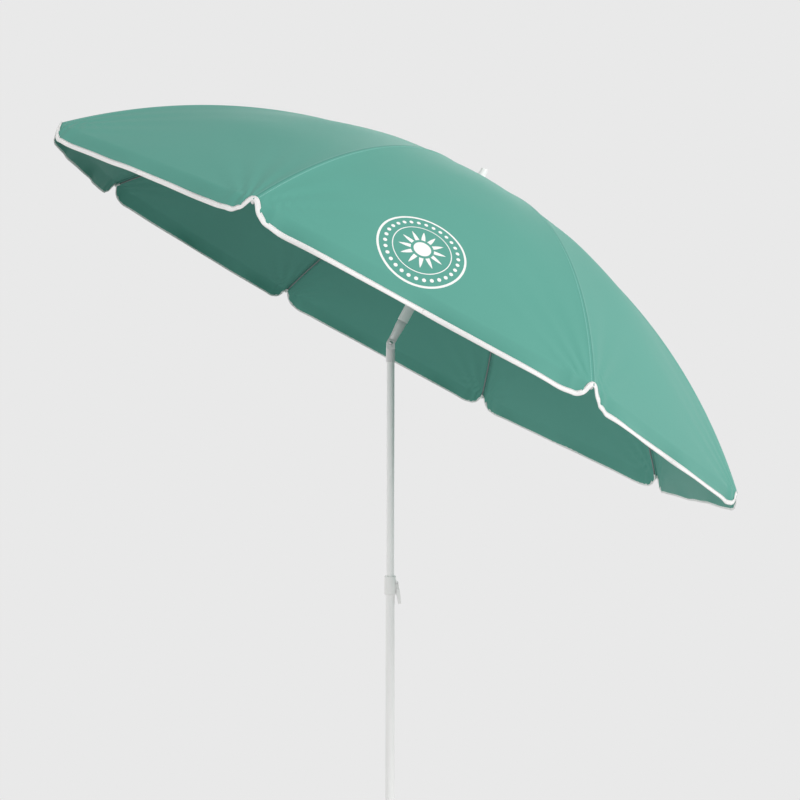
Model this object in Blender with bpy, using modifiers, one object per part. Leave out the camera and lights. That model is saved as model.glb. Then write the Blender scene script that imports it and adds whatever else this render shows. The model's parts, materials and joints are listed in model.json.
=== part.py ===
# Beach umbrella: an eight-rib canopy on a tilting mast, carried by a pole in two telescoping lengths.
# Metres, +Z up the pole, origin at the point of the ground spike. The canopy leans towards +X.
import math

import bmesh
import bpy
from mathutils import Matrix, Vector

# Main sizes
HINGE_HEIGHT = 1.640  # ground tip to the tilt pin
REST_TILT = math.radians(28.2)  # lean of the mast in the stored pose
CROWN_HEIGHT = 0.4395  # tilt pin to the rib pivots, along the mast
CANOPY_RADIUS = 0.897  # mast axis to the rib ends
CANOPY_DROP = 0.393  # rib pivots down to the rib ends, along the mast
RIB_COUNT = 8
RIB_START_SLOPE = math.radians(1.5)  # droop of a rib where it leaves the crown

# Clearances
GAP = 0.0003  # between pieces that seat on each other
SLIDE_GAP = 0.0004  # round a piece that slides or turns in another

# Poles and mast
UPPER_POLE_RADIUS = 0.0095
POLE_WALL = 0.0010
LOWER_POLE_RADIUS = UPPER_POLE_RADIUS + SLIDE_GAP + POLE_WALL
LOWER_POLE_LENGTH = 0.985
UPPER_POLE_INSERT = 0.300  # length of upper pole inside the lower pole
MAST_RADIUS = 0.0130
MAST_WALL = 0.0012
PLUG_DEPTH = 0.026  # how far a plug reaches into its tube

# Ground spike
SPIKE_LENGTH = 0.075
SPIKE_NOSE_RADIUS = 0.003

# Height clamp
COLLAR_WALL = 0.0032
COLLAR_ABOVE_POLE = 0.013  # the collar reaches this far over the lower pole's mouth
COLLAR_BELOW_MOUTH = 0.032
CLAMP_PIN_BELOW_MOUTH = 0.005
CLAMP_PIN_RADIUS = 0.0015
LEVER_EYE_RADIUS = 0.0044
LEVER_EYE_WIDTH = 0.0058
LEVER_WIDTH = 0.016
LEVER_LENGTH = 0.050
LUG_WIDTH = 0.0040  # each of the two ears beside the lever

# Tilt joint
TILT_PIN_RADIUS = 0.0030
KNUCKLE_RADIUS = 0.0100  # round ends of the fork's ears and of the tongue
TONGUE_WIDTH = 0.0084
FRONT_EAR_WIDTH = 0.0055
BACK_EAR_WIDTH = 0.0095
TONGUE_CENTRE = -0.0015  # the tongue sits a little to the front of the pole's axis
FORK_SOCKET_DEPTH = 0.030
FORK_SOCKET_WALL = 0.0012
HEAD_TOP = 0.0585  # tilt pin to the seam under the mast tube
HEAD_TOP_RADIUS = 0.0120
HEAD_SEAM = 0.0022
BUTTON_RADIUS = 0.0045
BUTTON_PROUD = 0.0035
BUTTON_TRAVEL = 0.0025
BUTTON_POCKET_DEPTH = 0.0059
SPRING_WIRE_RADIUS = 0.0003
SPRING_TIP_RADIUS = 0.0012  # the coil is a cone, so that it presses flat
SPRING_TURNS = 3

# Crown and ferrule
CROWN_RING_WIRE = 0.0008
CROWN_RING_SIDES = 6
EYE_RADIUS = 0.0026  # flat eye on the end of a rib or a stretcher
EYE_WIDTH = 0.0018
CROWN_FLANGE_REACH = 0.0060  # flange beyond the rib pivots
CROWN_FLANGE_THICKNESS = 0.0027
FIN_DEPTH = 0.0080
FERRULE_STEM_RADIUS = 0.0045
FERRULE_BASE_RADIUS = 0.0128
FERRULE_RADIUS = 0.0102
FERRULE_TOP_RADIUS = 0.0088
FERRULE_HEIGHT = 0.0440

# Ribs, stretchers and runner
RIB_RADIUS = 0.0020
RIB_RUN = 0.085  # longest straight run in the rib's curve
RIB_TIP_RADIUS = 0.0035
RIB_TIP_LENGTH = 0.016
RIB_TIP_OVERLAP = 0.010
BRACKET_AT = 0.190  # crown pivot to the bracket, along the rib
BRACKET_LENGTH = 0.016
BRACKET_WIDTH = 0.0072
BRACKET_WALL = 0.0012
BRACKET_PIN_DROP = 0.0075  # rib axis to the stretcher's pivot
BRACKET_PIN_RADIUS = 0.0010
STRETCHER_RADIUS = 0.00175
STRETCHER_EYE_RADIUS = 0.0030
STRETCHER_EYE_WIDTH = 0.0024
STRETCHER_NECK = 0.007  # flat length between the eye and the round rod, which clears the bracket
RUNNER_OPEN_DROP = 0.165  # crown pivots to the runner's pivots with the canopy open
RUNNER_WALL = 0.0025
RUNNER_ABOVE = 0.005
RUNNER_BELOW = 0.024
RUNNER_FLANGE_THICKNESS = 0.0095

# Runner catch
CATCH_WIDTH = 0.0036
CATCH_HEIGHT = 0.040
CATCH_NOSE = 0.0035  # how far the nose stands out of the mast
CATCH_LEAF = 0.0022  # leaf inside the mast

# Canopy
FABRIC_THICKNESS = 0.0012
FABRIC_OFFSET = 0.0050  # rib axis to the underside of the fabric
CANOPY_HOLE_RADIUS = 0.0075
PANEL_BULGE = 0.015  # how far the middle of a panel rises over the straight line between two ribs
BULGE_PEAK = 2 / 3  # where along the rib it rises most, as a share of the rib's length
SECTOR_GAP = 0.0004
VALANCE_LENGTH = 0.042
VALANCE_EXTRA_SLOPE = math.radians(12)
NOTCH_HALF_WIDTH = 0.055
NOTCH_LEFT = 0.004  # fabric left beyond the rib's end in a notch

# Worked out from the sizes above
POLE_MOUTH = SPIKE_LENGTH + GAP + LOWER_POLE_LENGTH
CROWN_RING_RADIUS = MAST_RADIUS + EYE_RADIUS + 0.0029
CROWN_TOP = EYE_RADIUS + SLIDE_GAP + CROWN_FLANGE_THICKNESS  # above the rib pivots
RUNNER_RING_RADIUS = MAST_RADIUS + SLIDE_GAP + RUNNER_WALL + EYE_RADIUS + 0.0020
RIB_CHORD_SLOPE = math.atan2(CANOPY_DROP, CANOPY_RADIUS - CROWN_RING_RADIUS)
RIB_BEND = 2 * (RIB_CHORD_SLOPE - RIB_START_SLOPE)
RIB_BEND_RADIUS = math.hypot(CANOPY_DROP, CANOPY_RADIUS - CROWN_RING_RADIUS) / (2 * math.sin(RIB_BEND / 2))
RIB_LENGTH = RIB_BEND_RADIUS * RIB_BEND
HALF_SECTOR = math.pi / RIB_COUNT

parts = bpy.data.collections.new("beach_umbrella")
cutters = bpy.data.collections.new("cutters")


# ---------- helpers ----------


def material(name, color, roughness, metallic=0.0):
    made = bpy.data.materials.new(name)
    made.use_nodes = True
    shader = made.node_tree.nodes["Principled BSDF"]
    shader.inputs["Base Color"].default_value = (*color, 1)
    shader.inputs["Roughness"].default_value = roughness
    shader.inputs["Metallic"].default_value = metallic
    return made


def add(name, mesh, parent=None, location=(0, 0, 0), rotation=(0, 0, 0), finish=None, helper=False):
    # A helper only cuts or joins, so it isn't a part.
    made = bpy.data.objects.new(name, mesh)
    (cutters if helper else parts).objects.link(made)
    made.parent = parent
    made.location = location
    made.rotation_euler = rotation
    if helper:
        made.hide_render = True
        made.display_type = "WIRE"
    elif finish is not None and not mesh.materials:
        mesh.materials.append(finish)
    return made


def from_bmesh(name, shape):
    mesh = bpy.data.meshes.new(name)
    bmesh.ops.recalc_face_normals(shape, faces=shape.faces)
    shape.to_mesh(mesh)
    shape.free()
    mesh.shade_smooth()
    mesh.set_sharp_from_angle(angle=math.radians(30))
    return mesh


def box_mesh(name, low, high):
    shape = bmesh.new()
    bmesh.ops.create_cube(shape, size=1)
    size = Vector(high) - Vector(low)
    middle = (Vector(high) + Vector(low)) / 2
    bmesh.ops.scale(shape, vec=size, verts=shape.verts)
    bmesh.ops.translate(shape, vec=middle, verts=shape.verts)
    return from_bmesh(name, shape)


def rod_mesh(name, start, end, radius, end_radius=None, sides=16):
    shape = bmesh.new()
    start, end = Vector(start), Vector(end)
    reach = end - start
    bmesh.ops.create_cone(
        shape,
        cap_ends=True,
        segments=sides,
        radius1=radius,
        radius2=radius if end_radius is None else end_radius,
        depth=reach.length,
    )
    turn = Vector((0, 0, 1)).rotation_difference(reach).to_matrix()
    bmesh.ops.rotate(shape, cent=(0, 0, 0), matrix=turn, verts=shape.verts)
    bmesh.ops.translate(shape, vec=(start + end) / 2, verts=shape.verts)
    return from_bmesh(name, shape)


def turned(name, profile, closed, parent=None, location=(0, 0, 0), rotation=(0, 0, 0), finish=None, steps=32,
           helper=False):
    # The profile is (radius, height) pairs that run down the outer side.
    mesh = bpy.data.meshes.new(name)
    points = [(radius, 0, height) for radius, height in profile]
    count = len(points)
    edges = [(i, (i + 1) % count) for i in range(count if closed else count - 1)]
    mesh.from_pydata(points, edges, [])
    made = add(name, mesh, parent, location, rotation, finish, helper)
    screw = made.modifiers.new("turn", "SCREW")
    screw.steps = steps
    screw.render_steps = steps
    screw.use_merge_vertices = True
    screw.merge_threshold = 1e-5
    screw.use_smooth_shade = True
    return made


def tube_profile(outer, inner, bottom, top):
    return [(outer, top), (outer, bottom), (inner, bottom), (inner, top)]


def boolean(target, other, operation):
    step = target.modifiers.new(f"{operation.lower()} {other.name}", "BOOLEAN")
    step.operation = operation
    step.object = other
    step.solver = "EXACT"


def shape_with(target, parent, joined=(), removed=()):
    # Joins and cuts with helper meshes that share the target's parent.
    for mesh in joined:
        boolean(target, add(mesh.name, mesh, parent, helper=True), "UNION")
    for mesh in removed:
        boolean(target, add(mesh.name, mesh, parent, helper=True), "DIFFERENCE")


def outline_mesh(name, points, width):
    # A flat outline in the XZ plane, given as (x, z) pairs, made a plate of this width along Y.
    shape = bmesh.new()
    loop = [shape.verts.new((x, -width / 2, z)) for x, z in points]
    face = shape.faces.new(loop)
    grown = bmesh.ops.extrude_face_region(shape, geom=[face])
    moved = [v for v in grown["geom"] if isinstance(v, bmesh.types.BMVert)]
    bmesh.ops.translate(shape, vec=(0, width, 0), verts=moved)
    return from_bmesh(name, shape)


def arc(centre, radius, start, end, steps):
    # (x, z) pairs on a circle, angles in degrees anticlockwise from +X.
    angles = [math.radians(start + (end - start) * i / steps) for i in range(steps + 1)]
    return [(centre[0] + radius * math.cos(a), centre[1] + radius * math.sin(a)) for a in angles]


def empty(name, parent=None, location=(0, 0, 0), rotation=(0, 0, 0)):
    made = bpy.data.objects.new(name, None)
    parts.objects.link(made)
    made.parent = parent
    made.location = location
    made.rotation_euler = rotation
    return made


def baked(source):
    # The evaluated mesh of a template, which its copies share. The template itself is removed.
    graph = bpy.context.evaluated_depsgraph_get()
    mesh = bpy.data.meshes.new_from_object(source.evaluated_get(graph))
    bpy.data.objects.remove(source)
    return mesh


# ---------- lower pole, spike and height clamp ----------


def build_lower_pole(paint):
    bottom = SPIKE_LENGTH + GAP
    profile = tube_profile(LOWER_POLE_RADIUS, LOWER_POLE_RADIUS - POLE_WALL, bottom, POLE_MOUTH)
    turned("lower_pole", profile, True, finish=paint)


def build_ground_spike(plastic):
    plug = LOWER_POLE_RADIUS - POLE_WALL - GAP
    profile = [
        (0, SPIKE_LENGTH + PLUG_DEPTH),
        (plug, SPIKE_LENGTH + PLUG_DEPTH),
        (plug, SPIKE_LENGTH),
        (LOWER_POLE_RADIUS, SPIKE_LENGTH),
        (LOWER_POLE_RADIUS, SPIKE_LENGTH * 0.84),
        (LOWER_POLE_RADIUS * 0.72, SPIKE_LENGTH * 0.45),
        (SPIKE_NOSE_RADIUS, 0),
        (0, 0),
    ]
    turned("ground_spike", profile, False, finish=plastic, steps=24)


def build_clamp(plastic, steel):
    # A split collar: its lower half grips the lower pole, its lip guides the upper pole.
    outer = LOWER_POLE_RADIUS + GAP + COLLAR_WALL
    bottom = POLE_MOUTH - COLLAR_BELOW_MOUTH
    top = POLE_MOUTH + COLLAR_ABOVE_POLE
    lip = POLE_MOUTH + GAP
    profile = [
        (outer - 0.0010, top),
        (outer, top - 0.0020),
        (outer, bottom + 0.0010),
        (outer - 0.0010, bottom),
        (LOWER_POLE_RADIUS + GAP, bottom),
        (LOWER_POLE_RADIUS + GAP, lip),
        (UPPER_POLE_RADIUS + SLIDE_GAP, lip),
        (UPPER_POLE_RADIUS + SLIDE_GAP, top),
    ]
    collar = turned("clamp_collar", profile, True, finish=plastic)
    pin_x = LOWER_POLE_RADIUS + GAP + LEVER_EYE_RADIUS
    pin_z = POLE_MOUTH - CLAMP_PIN_BELOW_MOUTH
    slit = LEVER_EYE_WIDTH / 2 + GAP
    lug_end = slit + LUG_WIDTH
    lug = arc((pin_x, pin_z), LEVER_EYE_RADIUS, -90, 90, 6)
    root = outer - COLLAR_WALL / 2
    lug += [(root, pin_z + LEVER_EYE_RADIUS + 0.004), (root, pin_z - LEVER_EYE_RADIUS - 0.003)]
    whole = outline_mesh("clamp_lugs", lug, 2 * lug_end)
    gap = box_mesh("clamp_split", (LOWER_POLE_RADIUS / 2, -slit, bottom - 0.01), (outer * 2, slit, top + 0.01))
    hole = rod_mesh("clamp_pin_hole", (pin_x, -0.02, pin_z), (pin_x, 0.02, pin_z), CLAMP_PIN_RADIUS + GAP)
    bore = rod_mesh("clamp_bore", (0, 0, bottom - 0.01), (0, 0, lip), LOWER_POLE_RADIUS + GAP, sides=32)
    shape_with(collar, None, [whole], [bore, gap, hole])

    head = lug_end + GAP
    pin = [
        (0, head + 0.0010),
        (CLAMP_PIN_RADIUS * 1.5, head + 0.0010),
        (CLAMP_PIN_RADIUS * 1.7, head),
        (CLAMP_PIN_RADIUS, head),
        (CLAMP_PIN_RADIUS, -head),
        (CLAMP_PIN_RADIUS * 1.7, -head),
        (CLAMP_PIN_RADIUS * 1.5, -head - 0.0010),
        (0, -head - 0.0010),
    ]
    turned("clamp_pin", pin, False, None, (pin_x, 0, pin_z), (-math.pi / 2, 0, 0), steel, steps=16)

    pivot = empty("clamp_lever_axis", None, (pin_x, 0, pin_z))
    reach = LEVER_EYE_RADIUS
    neck = arc((0, 0), reach, 0, 180, 8)
    neck += [(-reach, -0.004), (-0.0004, -0.014), (0.0062, -0.014), (reach, -0.004)]
    lever = add("clamp_lever", outline_mesh("clamp_lever", neck, LEVER_EYE_WIDTH), pivot, finish=plastic)
    low = -LEVER_LENGTH
    paddle = [(-0.0006, -0.0125), (-0.0006, low * 0.60), (0.0040, low), (0.0105, low + 0.0015)]
    paddle += [(0.0090, low * 0.62), (0.0066, -0.0125)]
    blade = outline_mesh("lever_blade", paddle, LEVER_WIDTH)
    hole = rod_mesh("lever_hole", (0, -0.02, 0), (0, 0.02, 0), CLAMP_PIN_RADIUS + GAP)
    shape_with(lever, pivot, [blade], [hole])


# ---------- upper pole and the lower half of the tilt joint ----------


def build_upper_pole(paint, plastic):
    hinge_drop = HINGE_HEIGHT - (KNUCKLE_RADIUS + SLIDE_GAP) - 0.0060
    bottom = POLE_MOUTH - UPPER_POLE_INSERT
    inner = UPPER_POLE_RADIUS - POLE_WALL
    turned("upper_pole", tube_profile(UPPER_POLE_RADIUS, inner, bottom, hinge_drop), True, finish=paint)
    bush = [
        (0, bottom + PLUG_DEPTH),
        (inner - GAP, bottom + PLUG_DEPTH),
        (inner - GAP, bottom - GAP),
        (UPPER_POLE_RADIUS + SLIDE_GAP / 2, bottom - GAP),
        (UPPER_POLE_RADIUS + SLIDE_GAP / 2, bottom - 0.008),
        (UPPER_POLE_RADIUS - 0.001, bottom - 0.009),
        (0, bottom - 0.009),
    ]
    turned("pole_bush", bush, False, finish=plastic)
    return hinge_drop


def build_tilt_fork(metal, steel, pole_top):
    hinge = empty("fork_frame", None, (0, 0, HINGE_HEIGHT))
    floor = -(KNUCKLE_RADIUS + SLIDE_GAP)
    cap = pole_top + GAP - HINGE_HEIGHT
    outer = UPPER_POLE_RADIUS + GAP + FORK_SOCKET_WALL
    bottom = cap - FORK_SOCKET_DEPTH
    profile = [
        (0, floor - 0.0008),
        (outer, floor - 0.0008),
        (outer, bottom),
        (UPPER_POLE_RADIUS + GAP, bottom),
        (UPPER_POLE_RADIUS + GAP, cap),
        (0, cap),
    ]
    fork = turned("tilt_fork", profile, False, hinge, finish=metal)
    tongue_front = TONGUE_CENTRE - TONGUE_WIDTH / 2 - SLIDE_GAP
    tongue_back = TONGUE_CENTRE + TONGUE_WIDTH / 2 + SLIDE_GAP
    front = tongue_front - FRONT_EAR_WIDTH
    back = tongue_back + BACK_EAR_WIDTH
    root = floor - 0.0045
    side = arc((0, 0), KNUCKLE_RADIUS, 0, 180, 12) + [(-KNUCKLE_RADIUS, root), (KNUCKLE_RADIUS, root)]
    ears = outline_mesh("fork_ears", side, back - front)
    ears.transform(Matrix.Translation((0, (front + back) / 2, 0)))
    mouth = box_mesh("fork_mouth", (-0.03, tongue_front, floor), (0.03, tongue_back, 0.03))
    pocket_floor = back - BUTTON_POCKET_DEPTH
    pin_end = tongue_back + (pocket_floor - tongue_back) * 0.55
    bore = rod_mesh("fork_bore", (0, -0.03, 0), (0, pin_end + GAP, 0), TILT_PIN_RADIUS + GAP)
    pocket = rod_mesh("button_pocket", (0, pocket_floor, 0), (0, 0.03, 0), BUTTON_RADIUS + GAP, sides=24)
    shape_with(fork, hinge, [ears], [mouth, bore, pocket])

    pin = [
        (0, pin_end),
        (TILT_PIN_RADIUS, pin_end),
        (TILT_PIN_RADIUS, front - GAP),
        (TILT_PIN_RADIUS * 1.7, front - GAP),
        (TILT_PIN_RADIUS * 1.5, front - GAP - 0.0014),
        (TILT_PIN_RADIUS * 0.8, front - GAP - 0.0021),
        (0, front - GAP - 0.0021),
    ]
    turned("tilt_pin", pin, False, hinge, (0, 0, 0), (-math.pi / 2, 0, 0), steel, steps=24)
    return back, pocket_floor


def build_tilt_button(plastic, steel, back, pocket_floor):
    hinge = empty("button_frame", None, (0, 0, HINGE_HEIGHT))
    under = pocket_floor + BUTTON_TRAVEL + 0.0008
    outside = back + BUTTON_PROUD
    profile = [
        (0, outside),
        (BUTTON_RADIUS * 0.75, outside),
        (BUTTON_RADIUS, outside - 0.0010),
        (BUTTON_RADIUS, under),
        (0, under),
    ]
    turned("tilt_button", profile, False, hinge, (0, 0, 0), (-math.pi / 2, 0, 0), plastic, steps=24)

    steps = 10 * SPRING_TURNS
    low = pocket_floor + GAP + SPRING_WIRE_RADIUS
    high = under - GAP - SPRING_WIRE_RADIUS
    wide = BUTTON_RADIUS * 0.7
    coil = bpy.data.curves.new("button_spring", "CURVE")
    coil.dimensions = "3D"
    coil.bevel_depth = SPRING_WIRE_RADIUS
    coil.bevel_resolution = 1
    coil.use_fill_caps = True
    line = coil.splines.new("POLY")
    line.points.add(steps)
    for i, point in enumerate(line.points):
        turn = 2 * math.pi * SPRING_TURNS * i / steps
        along = low + (high - low) * i / steps
        radius = wide + (SPRING_TIP_RADIUS - wide) * i / steps
        point.co = (radius * math.cos(turn), along, radius * math.sin(turn), 1)
    spring = bpy.data.objects.new("button_spring", coil)
    parts.objects.link(spring)
    spring.parent = hinge
    coil.materials.append(steel)


# ---------- mast: the section that tilts ----------


def build_tilt_head(mast, metal):
    plug = MAST_RADIUS - MAST_WALL - SLIDE_GAP
    seam = HEAD_TOP + HEAD_SEAM
    base = KNUCKLE_RADIUS + SLIDE_GAP
    profile = [
        (0, seam + PLUG_DEPTH),
        (plug, seam + PLUG_DEPTH),
        (plug, seam),
        (plug - 0.001, seam),
        (plug - 0.001, HEAD_TOP),
        (HEAD_TOP_RADIUS, HEAD_TOP),
        (HEAD_TOP_RADIUS, HEAD_TOP - 0.0120),
        (KNUCKLE_RADIUS, HEAD_TOP * 0.42),
        (KNUCKLE_RADIUS, base),
        (0, base),
    ]
    head = turned("tilt_head", profile, False, mast, finish=metal)
    side = arc((0, 0), KNUCKLE_RADIUS, 180, 360, 12)
    side += [(KNUCKLE_RADIUS * 0.98, base + 0.004), (-KNUCKLE_RADIUS * 0.98, base + 0.004)]
    tongue = outline_mesh("tilt_tongue", side, TONGUE_WIDTH)
    tongue.transform(Matrix.Translation((0, TONGUE_CENTRE, 0)))
    bore = rod_mesh("tongue_bore", (0, -0.02, 0), (0, 0.02, 0), TILT_PIN_RADIUS + GAP)
    shape_with(head, mast, [tongue], [bore])


def build_mast_tube(mast, paint, catch_top):
    bottom = HEAD_TOP + HEAD_SEAM + GAP
    top = CROWN_HEIGHT - EYE_RADIUS - FIN_DEPTH + GAP
    profile = tube_profile(MAST_RADIUS, MAST_RADIUS - MAST_WALL, bottom, top)
    tube = turned("mast_tube", profile, True, mast, finish=paint)
    half = CATCH_WIDTH / 2 + GAP
    low = catch_top - CATCH_HEIGHT + 0.005
    slot = box_mesh("catch_slot", (-half, -0.03, low), (half, 0, catch_top + GAP))
    shape_with(tube, mast, [], [slot])
    return top


def build_crown(mast, plastic, steel, tube_top):
    # A notched disc: each rib's eye sits in a slot, threaded on one wire ring.
    z = CROWN_HEIGHT
    core = CROWN_RING_RADIUS - EYE_RADIUS - SLIDE_GAP
    under_flange = z + EYE_RADIUS + SLIDE_GAP
    flange = CROWN_RING_RADIUS + CROWN_FLANGE_REACH
    plug = MAST_RADIUS - MAST_WALL - GAP
    hole = FERRULE_STEM_RADIUS + GAP
    seat = tube_top + GAP
    profile = [
        (hole, z + CROWN_TOP),
        (flange, z + CROWN_TOP),
        (flange, under_flange),
        (flange - 0.001, under_flange),
        (flange - 0.001, z - FIN_DEPTH * 0.6),
        (core, seat),
        (plug, seat),
        (plug, seat - PLUG_DEPTH),
        (hole, seat - PLUG_DEPTH),
    ]
    crown = turned("crown", profile, True, mast, finish=plastic, steps=32)
    half = EYE_WIDTH / 2 + SLIDE_GAP
    slots = bmesh.new()
    for k in range(RIB_COUNT):
        made = bmesh.ops.create_cube(slots, size=1)["verts"]
        bmesh.ops.scale(slots, vec=(0.03, 2 * half, under_flange - seat + 0.02), verts=made)
        bmesh.ops.translate(slots, vec=(core + 0.015, 0, (under_flange + seat - 0.02) / 2), verts=made)
        bmesh.ops.rotate(slots, cent=(0, 0, 0), matrix=Matrix.Rotation(rib_azimuth(k), 3, "Z"), verts=made)
    groove_profile = circle_profile(CROWN_RING_RADIUS, z, CROWN_RING_WIRE + GAP, CROWN_RING_SIDES)
    groove = turned("crown_groove", groove_profile, True, mast, helper=True, steps=24)
    shape_with(crown, mast, [], [from_bmesh("crown_slots", slots)])
    boolean(crown, groove, "DIFFERENCE")
    ring_profile = circle_profile(CROWN_RING_RADIUS, z, CROWN_RING_WIRE, CROWN_RING_SIDES)
    turned("crown_ring", ring_profile, True, mast, finish=steel, steps=24)


def circle_profile(radius, height, wire, count):
    # Runs down the outer side first.
    angles = [math.pi / 2 - 2 * math.pi * (i + 0.5) / count for i in range(count)]
    return [(radius + wire * math.cos(a), height + wire * math.sin(a)) for a in angles]


def build_ferrule(mast, plastic):
    base = CROWN_HEIGHT + CROWN_TOP + GAP + FABRIC_THICKNESS + GAP
    stem_end = CROWN_HEIGHT - 0.012
    profile = [
        (0, base + FERRULE_HEIGHT),
        (FERRULE_TOP_RADIUS * 0.80, base + FERRULE_HEIGHT),
        (FERRULE_TOP_RADIUS, base + FERRULE_HEIGHT - 0.0015),
        (FERRULE_RADIUS, base + 0.006),
        (FERRULE_BASE_RADIUS, base + 0.0045),
        (FERRULE_BASE_RADIUS, base),
        (FERRULE_STEM_RADIUS, base),
        (FERRULE_STEM_RADIUS, stem_end),
        (0, stem_end),
    ]
    turned("ferrule", profile, False, mast, finish=plastic, steps=24)


def build_runner(mast, plastic):
    z = CROWN_HEIGHT - RUNNER_OPEN_DROP
    bore = MAST_RADIUS + SLIDE_GAP
    body = bore + RUNNER_WALL
    edge = RUNNER_RING_RADIUS + EYE_RADIUS + 0.002
    flange_low = z + RUNNER_ABOVE - RUNNER_FLANGE_THICKNESS
    profile = [
        (edge, z + RUNNER_ABOVE),
        (edge, flange_low),
        (body, flange_low - 0.004),
        (body, z - RUNNER_BELOW + 0.003),
        (body + 0.0015, z - RUNNER_BELOW + 0.0015),
        (body + 0.0015, z - RUNNER_BELOW),
        (bore, z - RUNNER_BELOW),
        (bore, z + RUNNER_ABOVE),
    ]
    runner = turned("runner", profile, True, mast, finish=plastic, steps=32)
    half = EYE_WIDTH / 2 + SLIDE_GAP
    inner = RUNNER_RING_RADIUS - EYE_RADIUS - SLIDE_GAP
    slots = bmesh.new()
    for k in range(RIB_COUNT):
        made = bmesh.ops.create_cube(slots, size=1)["verts"]
        bmesh.ops.scale(slots, vec=(0.03, 2 * half, 0.05), verts=made)
        bmesh.ops.translate(slots, vec=(inner + 0.015, 0, z), verts=made)
        bmesh.ops.rotate(slots, cent=(0, 0, 0), matrix=Matrix.Rotation(rib_azimuth(k), 3, "Z"), verts=made)
    shape_with(runner, mast, [], [from_bmesh("runner_slots", slots)])
    return z - RUNNER_BELOW


def build_runner_catch(mast, steel, top):
    # A wedge on a leaf inside the mast. Its nose stands out under the runner on the -Y side.
    nose = MAST_RADIUS + CATCH_NOSE
    inside = MAST_RADIUS - MAST_WALL - SLIDE_GAP
    low = top - CATCH_HEIGHT
    side = [
        (-nose, top),
        (-nose, top - 0.003),
        (-inside, top - CATCH_HEIGHT * 0.78),
        (-inside, low),
        (-inside + CATCH_LEAF, low),
        (-inside + CATCH_LEAF, top),
    ]
    plate = outline_mesh("runner_catch", side, CATCH_WIDTH)
    plate.transform(Matrix.Rotation(math.pi / 2, 4, "Z"))
    add("runner_catch", plate, mast, finish=steel)


# ---------- ribs, stretchers and canopy, in a frame at a rib's pivot: +X outwards, +Z up the mast ----------


def rib_azimuth(k):
    return HALF_SECTOR * (2 * k + 1)


def rib_slope(s):
    return RIB_START_SLOPE + s / RIB_BEND_RADIUS


def rib_point(s, lift=0.0):
    # Point on the rib at arc length s, raised square to it.
    slope = rib_slope(s)
    x = RIB_BEND_RADIUS * (math.sin(slope) - math.sin(RIB_START_SLOPE))
    z = RIB_BEND_RADIUS * (math.cos(slope) - math.cos(RIB_START_SLOPE))
    return Vector((x + lift * math.sin(slope), 0, z + lift * math.cos(slope)))


def rib_frame(s):
    # +X along the rib, outwards and down.
    return Matrix.Translation(rib_point(s)) @ Matrix.Rotation(rib_slope(s), 4, "Y")


def rib_mesh():
    wire = bpy.data.curves.new("rib_wire", "CURVE")
    wire.dimensions = "3D"
    wire.bevel_depth = RIB_RADIUS
    wire.bevel_resolution = 1
    wire.use_fill_caps = True
    line = wire.splines.new("POLY")
    start = math.hypot(CROWN_FLANGE_REACH, FIN_DEPTH * 0.6) + SLIDE_GAP * 2
    stops = [start, BRACKET_AT - BRACKET_LENGTH, BRACKET_AT + BRACKET_LENGTH]
    stops += [RIB_LENGTH - 2 * RIB_TIP_LENGTH, RIB_LENGTH]
    places = [start]
    for low, high in zip(stops, stops[1:]):
        runs = max(1, round((high - low) / RIB_RUN))
        places += [low + (high - low) * i / runs for i in range(1, runs + 1)]
    line.points.add(len(places) - 1)
    for point, s in zip(line.points, places):
        point.co = (*rib_point(s), 1)
    source = bpy.data.objects.new("rib_wire", wire)
    parts.objects.link(source)
    rod = baked(source)
    weld = bmesh.new()
    weld.from_mesh(rod)
    bmesh.ops.remove_doubles(weld, verts=weld.verts, dist=1e-6)
    rod = from_bmesh("rib", weld)
    template = add("rib_template", rod)
    flat = outline_mesh("rib_flat", arc((0, 0), EYE_RADIUS, 90, 270, 8)
                        + [(start + 0.006, -RIB_RADIUS * 0.8), (start + 0.006, RIB_RADIUS * 0.8)], EYE_WIDTH)
    flat.transform(rib_frame(0))
    hole = rod_mesh("rib_eye_hole", (0, -0.01, 0), (0, 0.01, 0), CROWN_RING_WIRE + GAP, sides=12)
    shape_with(template, None, [flat], [hole])
    return baked(template)


def rib_tip_mesh():
    bore = RIB_RADIUS + GAP
    profile = [
        (0, RIB_TIP_LENGTH),
        (RIB_TIP_RADIUS * 0.6, RIB_TIP_LENGTH),
        (RIB_TIP_RADIUS, RIB_TIP_LENGTH - 0.0015),
        (RIB_TIP_RADIUS, RIB_TIP_LENGTH - 0.0040),
        (RIB_TIP_RADIUS - 0.0006, RIB_TIP_LENGTH - 0.0050),
        (RIB_TIP_RADIUS - 0.0006, 0),
        (bore, 0),
        (bore, RIB_TIP_OVERLAP + GAP),
        (0, RIB_TIP_OVERLAP + GAP),
    ]
    template = turned("tip_template", profile, False, steps=12)
    mesh = baked(template)
    mesh.transform(rib_frame(RIB_LENGTH - RIB_TIP_OVERLAP) @ Matrix.Rotation(math.pi / 2, 4, "Y"))
    return mesh


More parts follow.
